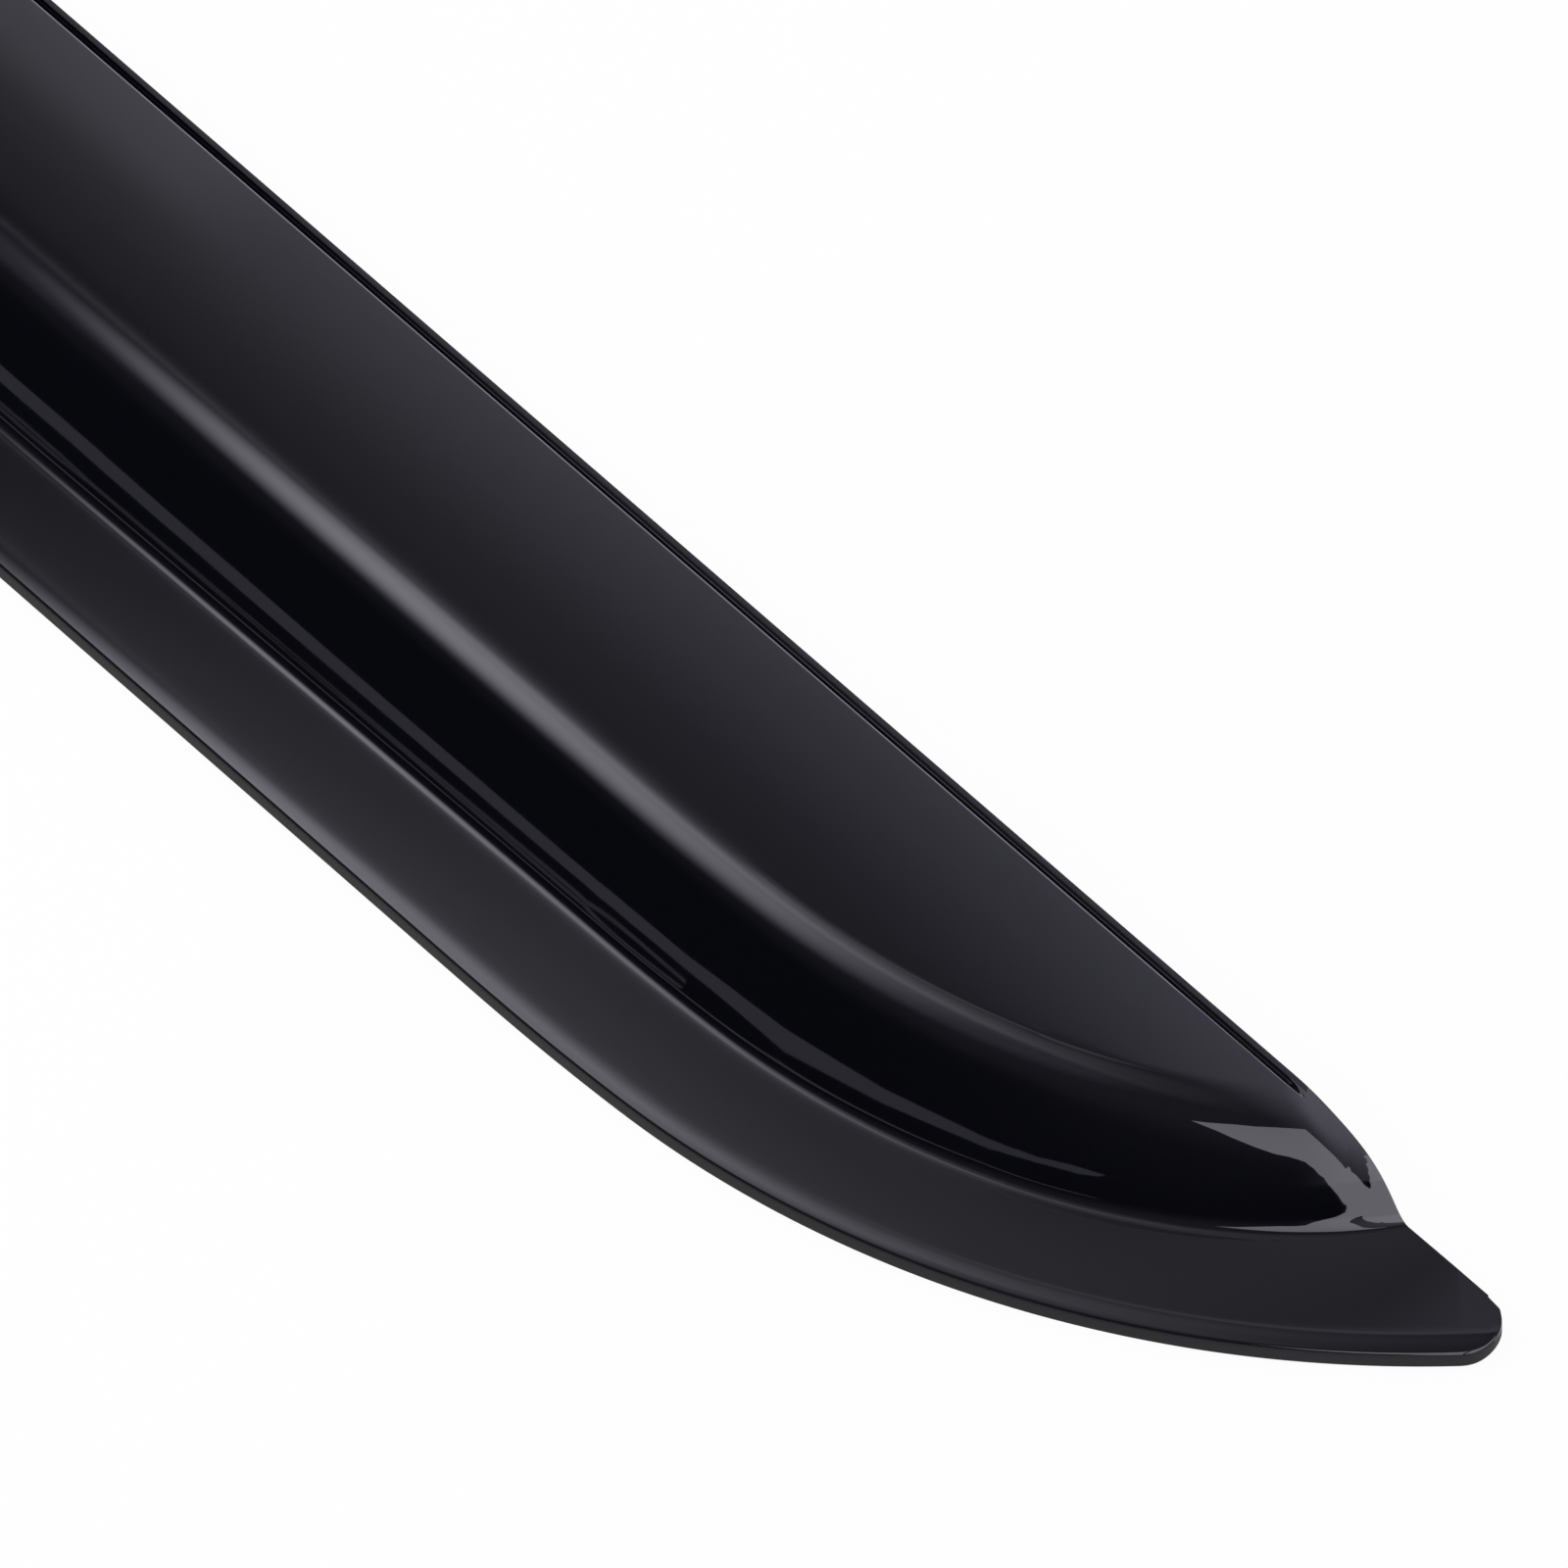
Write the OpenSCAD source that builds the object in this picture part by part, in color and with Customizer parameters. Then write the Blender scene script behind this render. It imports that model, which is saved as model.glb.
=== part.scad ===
// Window rain deflector: a long tinted acrylic visor with a flat mounting flange.
// X runs along the visor toward the tip, Y toward the trimmed free edge, Z outward.
// The release film under the tape lies on z = 0. All sizes are in millimetres.

/* [Overall size] */
// length over all, tail to tip
visor_len = 700; // [560:5:900]
// width in plan, from the outer flange edge to the trimmed free edge
visor_w = 83; // [72:0.5:96]
// thickness of the moulded sheet
sheet_t = 2.8; // [2:0.1:4]

/* [Flange] */
// width of the flange from the tail on, from the outer edge to the sharp foot of the wall
flange_w = 20.3; // [19.5:0.1:23]
// how much wider the flange has grown where the curve toward the tip begins
flange_flare = 2.2; // [0:0.1:3]
// length of the straight stretch over which it does
flare_len = 150; // [60:5:200]
// how much wider again the flange has grown where it reaches the tip
tip_flange_grow = 8.8; // [0:0.1:10]
// how far the flange's outer face sinks toward the wall, where the sheet was drawn thinner
flange_sink = 0.9; // [0:0.05:1]
// width of the strip along the outer edge that turns down
roll_w = 4.3; // [2.5:0.1:4.5]
// how far the outer edge turns down
roll_drop = 0.9; // [0.2:0.05:1]
// height of the blend between flange and wall
foot_blend = 1.7; // [1:0.1:3]
// how much higher that blend has grown where it reaches the tip
tip_foot_grow = 1.9; // [0:0.1:2]

/* [Wall and face] */
// distance from the outer edge to the sharp line where wall and face would meet
crest_d = 36.9; // [34:0.1:42]
// how far the wall bulges between its foot and that line
wall_crown = 0.5; // [0:0.05:0.8]
// how much more it bulges where it reaches the tip
tip_crown_grow = 1.8; // [0:0.1:2]
// height of the rounded blend along that line
crest_blend = 6; // [3:0.25:7.5]
// how much further in the crest line lies where it reaches the tip
tip_crest_grow = 3.4; // [0:0.1:4]
// how much higher the blend along it has grown there
tip_blend_grow = 3.2; // [0:0.1:7]
// height of the free edge above the flange
lip_rise = 14.2; // [11:0.1:20]
// rise of the face from the free edge to the crest line
face_rise = 5.4; // [2:0.1:8]
// extra height of the face at mid width, a slight crown
face_crown = 0.5; // [0:0.05:1.2]

/* [Free edge] */
// width of the bare trimmed strip along the free edge
lip_w = 1.15; // [0.8:0.05:2]
// width of the groove beside it
groove_w = 1.5; // [1:0.05:2.4]
// depth of the groove
groove_depth = 0.8; // [0.4:0.05:1.2]
// length over which the groove runs out at each end
groove_run = 8; // [4:1:30]
// how far the free edge rounds over at each end, past the groove
edge_over = 0.5; // [0:0.05:0.8]

/* [Plan curve at the tip] */
// radius of the gentle lead-in arc
lead_r = 510; // [300:5:800]
// angle turned by the lead-in arc
lead_turn = 3.9; // [1:0.1:8]
// radius of the main arc toward the tip
tip_r = 195; // [160:1:260]
// corner radius of the tab at the tip
tip_corner_r = 7; // [4:0.25:12]

/* [Plan curve at the tail] */
// radius of the arc that closes the tail
tail_r = 110; // [100:1:150]
// corner radius of the tab at the tail
tail_corner_r = 10; // [5:0.5:14]

/* [Tape and release film] */
// width of the foam tape
tape_w = 12; // [8:0.25:12.5]
// thickness of the foam tape
tape_t = 1.1; // [0.8:0.1:2]
// distance from the outer edge to the tape
tape_inset = 4.7; // [4.5:0.1:6]
// distance kept between the tape ends and the free edge
tape_end_gap = 3; // [1:0.25:8]
// thickness of the release film
film_t = 0.2; // [0.1:0.05:0.4]
// length of film left over at each end of the tape, to pull it by
film_tail = 1.5; // [0:0.25:2]

/* [Hidden] */

// heights
z_back = film_t + tape_t;
z_flange = z_back + sheet_t;
z_lip = z_flange + lip_rise;
face_w = visor_w - crest_d;
face_slope = face_rise / face_w;

// turn of the main arc: chosen so that arc and corner end exactly on the free edge
tip_end = acos((lead_r * (1 - cos(lead_turn)) + tip_r * cos(lead_turn) + tip_corner_r
    - visor_w) / (tip_r - tip_corner_r));
tail_end = acos((tail_r + tail_corner_r - visor_w) / (tail_r - tail_corner_r));

// extent along X of the curved ends
tip_run = lead_r * sin(lead_turn) + tip_r * (sin(tip_end) - sin(lead_turn))
    + tip_corner_r * (1 - sin(tip_end));
tail_run = tail_r * sin(tail_end) + tail_corner_r * (1 - sin(tail_end));
x_lead = visor_len / 2 - tip_run;
x_tail = tail_run - visor_len / 2;

// centres of the plan arcs, the free edge being y = 0 here
c_lead = [x_lead, lead_r - visor_w];
c_tip = c_lead + (lead_r - tip_r) * [sin(lead_turn), -cos(lead_turn)];
c_tail = [x_tail, tail_r - visor_w];
c_tab = c_tip + (tip_r - tip_corner_r) * [sin(tip_end), -cos(tip_end)];
c_heel = c_tail + (tail_r - tail_corner_r) * [-sin(tail_end), -cos(tail_end)];

// number of rows in each stretch of the outline
n_heel = 8;
n_tail = 16;
n_lead = 3;
n_tip = 46;
n_tab = 9;
// distance between the last two rows at each end of the straight stretch
mid_step = 8;
// the corner rows stop this many degrees before the free edge
corner_stop = 14;

// smooth minimum and maximum: the sharp corner becomes a blend of height k
function smin(a, b, k) = let (h = max(k - abs(a - b), 0) / k) min(a, b) - h * h * k / 4;
function smax(a, b, k) = -smin(-a, -b, k);

// height of the face
function face_z(y) = let (q = min(max(-y / face_w, 0), 1))
    z_lip - face_slope * y + 4 * face_crown * q * (1 - q);
// height of a flange that doesn't sink, and the vertical thickness there
function flat_z(d) = z_flange - roll_drop * pow(max(0, 1 - d / roll_w), 2);
function flat_drop(d) = let (g = 2 * roll_drop * max(0, 1 - d / roll_w) / roll_w)
    sheet_t * sqrt(1 + g * g);

// smooth step from 0 to 1 between two values
function step_of(v, a, b) = let (t = min(max((v - a) / (b - a), 0), 1)) t * t * (3 - 2 * t);
// where the crest line meets the free edge at the tip and at the tail
x_nose = c_tip.x + sqrt(pow(tip_r - crest_d - tip_crest_grow, 2) - pow(c_tip.y, 2));
x_rump = c_tail.x - sqrt(pow(tail_r - crest_d, 2) - pow(c_tail.y, 2));
// distance of a place along X from the nearer of the two, positive between them
function from_ends(x) = min(x_nose - x, x - x_rump);
// the groove has a steep side at the lip, a gentle one at the face and a blunt bottom;
// toward its ends the steep side moves in until the groove is gone
groove_stop = 3.5;
groove_steep = groove_depth / (0.18 * groove_w);
groove_gentle = groove_depth / (0.82 * groove_w);
function groove_z(x, y) = let (
    v = -lip_w - y - groove_w * (1 - step_of(from_ends(x), groove_stop, groove_stop + groove_run)))
    face_z(y) + smax(-groove_steep * v, groove_gentle * (-lip_w - y - groove_w), 0.12);
// past the groove the free edge rounds over, less and less toward the flange
over_w = 5.5;
function over_z(x, y) = let (e = from_ends(x))
    edge_over * (1 - step_of(e, groove_stop - 4, groove_stop + 8)) * step_of(e, -15, 0)
    * pow(max(0, 1 + y / over_w), 2);

// a stretch is [centre, radius, side, growth]; radius 0 means the straight stretch
HEEL = [c_tail, tail_r, -1, 0];
MID = [[0, 0], 0, 1, 0];
LEAD = [c_lead, lead_r, 1, 0];
TIP = [c_tip, tip_r, 1, 1];

// where a point stands: its plan angle about the centre of its stretch, 0 toward the outer
// edge, its share of the flare, and its place along X
function turn_of(p, s) = s[1] == 0
    ? [0, min(max((p.x - x_lead + flare_len) / flare_len, 0), 1), p.x]
    : [atan2(s[2] * (p.x - s[0].x), s[0].y - p.y), s[2] > 0 ? 1 : 0, p.x];
// distance of a point from the outer edge
function edge_d(p, s) = s[1] == 0 ? p.y + visor_w : s[1] - norm(p - s[0]);
// share of the growth toward the tip reached there
function grown(q, s) = s[3]
    * pow(min(max((q[0] - lead_turn) / (tip_end - lead_turn), 0), 1), 5);
// distances of the wall's foot and of the crest line from the outer edge, and the blends
function foot_d(q, s) = flange_w + flange_flare * q[1] + tip_flange_grow * grown(q, s);
function crest_at(q, s) = crest_d + tip_crest_grow * grown(q, s);
function blend_at(q, s) = crest_blend + tip_blend_grow * grown(q, s);
function foot_blend_at(q, s) = foot_blend + tip_foot_grow * grown(q, s);
function wall_crown_at(q, s) = wall_crown + tip_crown_grow * grown(q, s);
// depth to which the flange sinks at the wall's foot
function sink_at(q, s) = flange_sink * (1 - grown(q, s));
// slope of the wall, from its foot to the crest line
function crest_y(q, s) = let (c = crest_at(q, s))
    s[1] == 0 ? c - visor_w : s[0].y - (s[1] - c) * cos(q[0]);
function wall_slope(q, s) = (face_z(crest_y(q, s)) - z_flange + sink_at(q, s))
    / (crest_at(q, s) - foot_d(q, s));

// height of the smooth outer skin over a point of the plan
function skin(d, q, y, s) = let (w = foot_d(q, s), f = sink_at(q, s),
    t = (d - w) / (crest_at(q, s) - w),
    flange = flat_z(d) - f * pow(max(d, 0) / w, 1.5),
    wall = z_flange - f + wall_slope(q, s) * (d - w)
        + 4 * wall_crown_at(q, s) * t * (1 - t))
    smax(flange, smin(wall, face_z(y), blend_at(q, s)) - over_z(q[2], y), foot_blend_at(q, s));
// vertical thickness that gives the sheet its thickness across the slope
function drop(d, q, y, s) = let (e = 0.05, c = s[1] == 0 ? 1 : cos(q[0]),
    g = (skin(d + e, q, y + e * c, s) - skin(d - e, q, y - e * c, s)) / (2 * e))
    sheet_t * sqrt(1 + g * g);

// rows cross the sheet from the outline to the free edge: [start, end x, stretch]
function fan(a, s) = let (o = s[0] + s[1] * [s[2] * sin(a), -cos(a)])
    [o, o.x + s[2] * o.y * tan(a), s];
// rows of the straight stretch at which the flare begins and goes on
flare_rows = [for (f = [0, 0.1, 0.5]) x_lead - flare_len * (1 - f)];
// the tip's rows meet the free edge at steps that grow smaller where it cuts the wall
tip_bunch = 0.36;
function tip_turn(f) = atan(tan(lead_turn) + (tan(tip_end) - tan(lead_turn))
    * (f < tip_bunch ? f * (1 - 0.4) / tip_bunch
        : 0.6 + 0.4 * (f - tip_bunch) / (1 - tip_bunch)));
function corner(a, c, r, s, x0, f) = [c + r * [s[2] * sin(a), -cos(a)], x0 + (c.x - x0) * f, s];
function heel_row(f) = corner(tail_end + (180 - tail_end) * f, c_heel, tail_corner_r, HEEL,
    fan(tail_end, HEEL)[1], f);
function tab_row(f) = corner(tip_end + (180 - tip_end) * f, c_tab, tip_corner_r, TIP,
    fan(tip_end, TIP)[1], f);
rows = concat(
    [for (i = [n_heel : -1 : 1]) heel_row(i / n_heel * (1 - corner_stop / (180 - tail_end)))],
    [for (i = [n_tail : -1 : 1]) fan(tail_end * i / n_tail, HEEL)],
    [for (x = [x_tail, x_tail + mid_step, each flare_rows, x_lead - mid_step, x_lead])
        [[x, -visor_w], x, MID]],
    [for (i = [1 : n_lead]) fan(lead_turn * i / n_lead, LEAD)],
    [for (i = [1 : n_tip]) fan(tip_turn(i / n_tip), TIP)],
    [for (i = [1 : n_tab]) tab_row(i / n_tab * (1 - corner_stop / (180 - tip_end)))]
);

// columns along a row: turned edge, mid flange, foot blend, crest blend, face, groove,
// free edge
ROLL = [0, 0.15, 0.38, 0.68, 1];
FOOT = [-1, -0.5, 0, 0.5, 1];
CREST = [-1, -0.68, -0.34, 0, 0.34, 0.68, 1];
FACE = [0.12, 0.37, 0.63, 0.88];
GROOVE = [1.3, 1.1, 0.97, 0.84, 0.5, 0.26, 0.18, 0.1, 0, -0.12];
edge_w = lip_w + GROOVE[0] * groove_w;
n_near = len(ROLL) + 1 + len(FOOT) + len(CREST);
n_col = n_near + len(FACE) + len(GROOVE) + 1;

// least spacing of columns that are pushed together where the free edge cuts the wall
min_step = 0.2;

function near_list(q, s) = let (w = foot_d(q, s), m = wall_slope(q, s), c = crest_at(q, s),
    lf = foot_blend_at(q, s) / m, lc = blend_at(q, s) / (m + face_slope))
    concat(ROLL * roll_w, [(roll_w + w - lf) / 2], [for (u = FOOT) w + u * lf],
        [for (u = CREST) c + u * lc]);

// distances along one row at which its columns stand
function stations(r) = let (
    o = r[0], t = [r[1], 0], s = r[2], len_r = norm(t - o),
    d0 = edge_d(o, s), d1 = edge_d(t, s),
    stretch = len_r / max(d1 - d0, 0.5),
    past = 1 - step_of(from_ends(t.x), groove_stop - 8, groove_stop),
    edge_part = min(edge_w * len_r / -o.y, 0.4 * len_r) * (1 - 0.6 * past),
    room = len_r - edge_part,
    e = min(min_step, room / (n_near + len(FACE) + 3)),
    nom = near_list(turn_of(t, s), s),
    near = [for (j = [0 : n_near - 1]) min(max((nom[j] - d0) * stretch, j * e),
        room - (n_near + len(FACE) - j) * e)],
    last = near[n_near - 1])
    concat(near,
        [for (f = FACE) last + (room - last) * f],
        [for (g = GROOVE) len_r - edge_part * (lip_w + groove_w * g) / edge_w],
        [len_r]);

function row_plan(r) = let (o = r[0], t = [r[1], 0], n = (t - o) / norm(t - o))
    [for (l = stations(r)) o + n * l];

// outer and inner skin points of one row
function outer_pts(r) = [for (p = row_plan(r)) let (s = r[2], q = turn_of(p, s))
    [p.x, p.y, smin(skin(edge_d(p, s), q, p.y, s), groove_z(p.x, p.y), 0.1)]];
function inner_pts(r) = [for (p = row_plan(r)) let (s = r[2], q = turn_of(p, s),
    d = edge_d(p, s)) [p.x, p.y, max(skin(d, q, p.y, s) - drop(d, q, p.y, s),
        flat_z(d) - flat_drop(d))]];

n_row = len(rows);
n_skin = n_row * n_col;
function at(i, j) = i * n_col + j;
function quad(a, b, c, d) = [[a, b, c], [a, c, d]];
shell_points = concat([for (r = rows) each outer_pts(r)], [for (r = rows) each inner_pts(r)]);
shell_faces = concat(
    [for (i = [0 : n_row - 2], j = [0 : n_col - 2])
        each quad(at(i, j), at(i, j + 1), at(i + 1, j + 1), at(i + 1, j))],
    [for (i = [0 : n_row - 2], j = [0 : n_col - 2]) each quad(n_skin + at(i, j),
        n_skin + at(i + 1, j), n_skin + at(i + 1, j + 1), n_skin + at(i, j + 1))],
    [for (i = [0 : n_row - 2]) each quad(n_skin + at(i, 0), at(i, 0), at(i + 1, 0),
        n_skin + at(i + 1, 0))],
    [for (i = [0 : n_row - 2]) let (e = n_col - 1) each quad(n_skin + at(i + 1, e),
        at(i + 1, e), at(i, e), n_skin + at(i, e))],
    [for (j = [0 : n_col - 2]) each quad(n_skin + at(0, j + 1), at(0, j + 1), at(0, j),
        n_skin + at(0, j))],
    [for (j = [0 : n_col - 2]) let (e = n_row - 1) each quad(n_skin + at(e, j), at(e, j),
        at(e, j + 1), n_skin + at(e, j + 1))]
);

// plan angles at which a strip of the given inner distance stops short of the free edge
function strip_stop(d, s, extra) = acos((s[0].y + tape_end_gap) / (s[1] - d))
    + extra / s[1] * 180 / PI;
// one long edge of the strip, at distance d from the outer edge
function strip_line(d, extra) = let (
    b = strip_stop(tape_inset + tape_w, HEEL, extra),
    e = strip_stop(tape_inset + tape_w, TIP, extra))
    concat(
        [for (i = [n_tail : -1 : 0]) let (a = b * i / n_tail)
            c_tail + (tail_r - d) * [-sin(a), -cos(a)]],
        [for (i = [0 : n_lead - 1]) let (a = lead_turn * i / n_lead)
            c_lead + (lead_r - d) * [sin(a), -cos(a)]],
        [for (i = [0 : n_tip]) let (a = lead_turn + (e - lead_turn) * i / n_tip)
            c_tip + (tip_r - d) * [sin(a), -cos(a)]]);
function reversed(v) = [for (i = [len(v) - 1 : -1 : 0]) v[i]];

// plan of the tape, and of the film with its free ends
module strip(extra) {
    polygon(concat(
        strip_line(tape_inset, extra),
        reversed(strip_line(tape_inset + tape_w, extra))));
}

// moves the plan so that the free edge lies at plus half the width
module centred() {
    translate([0, visor_w / 2, 0]) children();
}

// one moulded sheet: flange, wall, crest, face, groove and free edge
module visor_shell() {
    color([0.07, 0.07, 0.08])
        centred()
            polyhedron(points = shell_points, faces = shell_faces, convexity = 6);
}

// foam tape on the back of the flange
module foam_tape() {
    color([0.2, 0.2, 0.21])
        centred()
            translate([0, 0, film_t])
                linear_extrude(height = tape_t)
                    strip(0);
}

// release film over the tape, peeled off before fitting
module release_film() {
    color([0.7, 0.1, 0.12])
        centred()
            linear_extrude(height = film_t)
                strip(film_tail);
}

visor_shell();
foam_tape();
release_film();
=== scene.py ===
import math

import bpy
import bmesh
from bpy.props import FloatProperty, FloatVectorProperty, IntProperty, PointerProperty
from mathutils import Matrix, Vector


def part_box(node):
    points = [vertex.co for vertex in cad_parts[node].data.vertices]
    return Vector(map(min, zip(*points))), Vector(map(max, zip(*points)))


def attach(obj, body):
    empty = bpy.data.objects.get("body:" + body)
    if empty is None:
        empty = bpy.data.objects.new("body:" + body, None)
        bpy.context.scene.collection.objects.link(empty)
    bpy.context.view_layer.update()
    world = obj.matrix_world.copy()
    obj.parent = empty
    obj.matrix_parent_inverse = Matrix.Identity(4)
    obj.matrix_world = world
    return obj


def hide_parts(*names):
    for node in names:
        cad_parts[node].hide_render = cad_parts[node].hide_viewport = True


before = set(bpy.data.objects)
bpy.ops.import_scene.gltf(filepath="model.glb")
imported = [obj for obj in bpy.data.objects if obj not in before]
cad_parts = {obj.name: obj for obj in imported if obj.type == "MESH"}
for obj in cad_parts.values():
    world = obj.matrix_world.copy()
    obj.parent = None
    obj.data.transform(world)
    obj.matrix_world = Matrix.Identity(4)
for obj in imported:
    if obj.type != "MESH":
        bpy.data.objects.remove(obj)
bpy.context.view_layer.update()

bl_info = {
    "name": "Window rain deflector",
    "version": (1, 0, 0),
    "blender": (4, 5, 0),
    "location": "3D View > Sidebar > Deflector",
    "description": "Dresses the packed smoke acrylic window rain deflector",
    "category": "Object",
}

MM = 0.001
SHELL_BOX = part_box("visor_shell")
TAPE_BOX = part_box("foam_tape")


# ------------------------------------------------------------------ colours and nodes

def linear(hex_code):
    """sRGB hex, as a designer writes it, to the linear RGBA that the shaders take."""
    out = []
    for i in (1, 3, 5):
        v = int(hex_code[i:i + 2], 16) / 255.0
        out.append(v / 12.92 if v <= 0.04045 else ((v + 0.055) / 1.055) ** 2.4)
    return (out[0], out[1], out[2], 1.0)


def node(tree, kind, place=(0, 0), links=(), **settings):
    """Adds a node. A setting whose name starts with in_ goes to that input socket (index
    or name with spaces as _), any other to the node itself; links are (input, socket)."""
    n = tree.nodes.new(kind)
    n.location = place
    for key, value in settings.items():
        if key.startswith("in_"):
            name = key[3:]
            n.inputs[int(name) if name.isdigit() else name.replace("_", " ")] \
                .default_value = value
        else:
            setattr(n, key, value)
    for name, socket in links:
        tree.links.new(socket, n.inputs[name])
    return n


def new_material(name):
    mat = bpy.data.materials.new(name)
    mat.use_nodes = True
    mat.node_tree.nodes.clear()
    return mat, mat.node_tree


# ------------------------------------------------------------------ materials

def smoke_acrylic(s):
    """Cast acrylic (PMMA) sheet, dark smoke all through, heated and drawn over a form.
    The forming leaves the polish of the sheet: a near-black body under sharp, faint
    (4 %) reflections, which a slow waviness of the drawn sheet bends a little."""
    mat, t = new_material("polished smoke acrylic")
    where = node(t, "ShaderNodeTexCoord", (-1100, 0))
    # waviness of the drawn sheet, one wave in about 45 mm
    wave = node(t, "ShaderNodeTexNoise", (-850, -250), [("Vector", where.outputs["Object"])],
                in_Scale=1.0 / (45 * MM), in_Detail=1.0, in_Roughness=0.4)
    wave_bump = node(t, "ShaderNodeBump", (-350, -250), [("Height", wave.outputs["Fac"])],
                     in_Strength=1.0, in_Distance=s.waviness)
    # wiping haze: patches of about 12 mm a little less polished than the rest
    haze = node(t, "ShaderNodeTexNoise", (-850, 50), [("Vector", where.outputs["Object"])],
                in_Scale=1.0 / (12 * MM), in_Detail=3.0, in_Roughness=0.55)
    polish = node(t, "ShaderNodeMapRange", (-600, 50), [("Value", haze.outputs["Fac"])],
                  in_From_Min=0.3, in_From_Max=0.7,
                  in_To_Min=s.gloss_roughness * 0.7, in_To_Max=s.gloss_roughness * 1.3)
    shader = node(t, "ShaderNodeBsdfPrincipled", (0, 0),
                  [("Roughness", polish.outputs["Result"]),
                   ("Normal", wave_bump.outputs["Normal"])],
                  in_Base_Color=tuple(s.smoke) + (1.0,), in_IOR=1.49)
    node(t, "ShaderNodeOutputMaterial", (300, 0), [("Surface", shader.outputs["BSDF"])])
    return mat


def trimmed_acrylic(s):
    """The same sheet where the router trimmed it: the cut leaves a matte, slightly
    dusty face with fine cutter marks across it, so it looks grey beside the polish."""
    mat, t = new_material("routed acrylic edge")
    where = node(t, "ShaderNodeTexCoord", (-1300, 0))
    # cutter marks stand upright in the cut: about 0.3 mm apart along the edge,
    # drawn coarser than the real 0.1 mm so that they show
    stretch = node(t, "ShaderNodeMapping", (-1100, -200),
                   [("Vector", where.outputs["Object"])], in_Scale=(1.0, 1.0, 0.06))
    marks = node(t, "ShaderNodeTexNoise", (-850, -200), [("Vector", stretch.outputs["Vector"])],
                 in_Scale=1.0 / (0.3 * MM), in_Detail=2.0, in_Roughness=0.6)
    bump = node(t, "ShaderNodeBump", (-350, -200), [("Height", marks.outputs["Fac"])],
                in_Strength=0.3, in_Distance=0.03 * MM)
    # dust of the cut, caught in patches
    dust = node(t, "ShaderNodeTexNoise", (-850, 150), [("Vector", where.outputs["Object"])],
                in_Scale=1.0 / (1.2 * MM), in_Detail=3.0, in_Roughness=0.6)
    shade = node(t, "ShaderNodeMix", (-350, 150), data_type="RGBA")
    t.links.new(dust.outputs["Fac"], shade.inputs["Factor"])
    shade.inputs["A"].default_value = linear("#09080C")
    shade.inputs["B"].default_value = linear("#171419")
    shader = node(t, "ShaderNodeBsdfPrincipled", (0, 0),
                  [("Base Color", shade.outputs["Result"]), ("Normal", bump.outputs["Normal"])],
                  in_Roughness=0.55, in_IOR=1.49, in_Specular_IOR_Level=0.24)
    node(t, "ShaderNodeOutputMaterial", (300, 0), [("Surface", shader.outputs["BSDF"])])
    return mat


def acrylic_foam(s):
    """Closed-cell acrylic foam tape: dark grey, matte and slightly rubbery, with cells
    of about 0.15 mm that show at the cut sides."""
    mat, t = new_material("closed-cell acrylic foam")
    where = node(t, "ShaderNodeTexCoord", (-1100, 0))
    # cells drawn at 0.4 mm, coarser than the real 0.15 mm, so that they show
    cells = node(t, "ShaderNodeTexVoronoi", (-850, -150),
                 [("Vector", where.outputs["Object"])], in_Scale=1.0 / (0.4 * MM))
    bump = node(t, "ShaderNodeBump", (-350, -150), [("Height", cells.outputs["Distance"])],
                in_Strength=0.7, in_Distance=0.08 * MM)
    patch = node(t, "ShaderNodeTexNoise", (-850, 150), [("Vector", where.outputs["Object"])],
                 in_Scale=1.0 / (9 * MM), in_Detail=3.0)
    shade = node(t, "ShaderNodeMix", (-350, 150), data_type="RGBA")
    t.links.new(patch.outputs["Fac"], shade.inputs["Factor"])
    shade.inputs["A"].default_value = linear("#2A2B2D")
    shade.inputs["B"].default_value = linear("#3B3C3F")
    shader = node(t, "ShaderNodeBsdfPrincipled", (0, 0),
                  [("Base Color", shade.outputs["Result"]), ("Normal", bump.outputs["Normal"])],
                  in_Roughness=0.82, in_IOR=1.48)
    node(t, "ShaderNodeOutputMaterial", (300, 0), [("Surface", shader.outputs["BSDF"])])
    return mat


def red_film(s):
    """Polyethylene release film, blown and dyed red: satin, with the fine lengthways
    draw lines and faint cockling of a film that was wound on a reel."""
    mat, t = new_material("red polyethylene release film")
    where = node(t, "ShaderNodeTexCoord", (-1300, 0))
    # draw lines run along the tape, about 0.8 mm apart
    along = node(t, "ShaderNodeMapping", (-1100, -200),
                 [("Vector", where.outputs["Object"])], in_Scale=(0.03, 1.0, 1.0))
    lines = node(t, "ShaderNodeTexNoise", (-850, -200), [("Vector", along.outputs["Vector"])],
                 in_Scale=1.0 / (0.8 * MM), in_Detail=2.0)
    cockle = node(t, "ShaderNodeTexNoise", (-850, -450), [("Vector", where.outputs["Object"])],
                  in_Scale=1.0 / (7 * MM), in_Detail=1.0)
    fine = node(t, "ShaderNodeBump", (-550, -200), [("Height", lines.outputs["Fac"])],
                in_Strength=0.5, in_Distance=0.02 * MM)
    bump = node(t, "ShaderNodeBump", (-300, -300),
                [("Height", cockle.outputs["Fac"]), ("Normal", fine.outputs["Normal"])],
                in_Strength=0.6, in_Distance=0.15 * MM)
    shade = node(t, "ShaderNodeMix", (-350, 150), data_type="RGBA")
    t.links.new(lines.outputs["Fac"], shade.inputs["Factor"])
    shade.inputs["A"].default_value = linear("#A81C22")
    shade.inputs["B"].default_value = linear("#C02A2C")
    shader = node(t, "ShaderNodeBsdfPrincipled", (0, 0),
                  [("Base Color", shade.outputs["Result"]), ("Normal", bump.outputs["Normal"])],
                  in_Roughness=0.36, in_IOR=1.51)
    node(t, "ShaderNodeOutputMaterial", (300, 0), [("Surface", shader.outputs["BSDF"])])
    return mat


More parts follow.
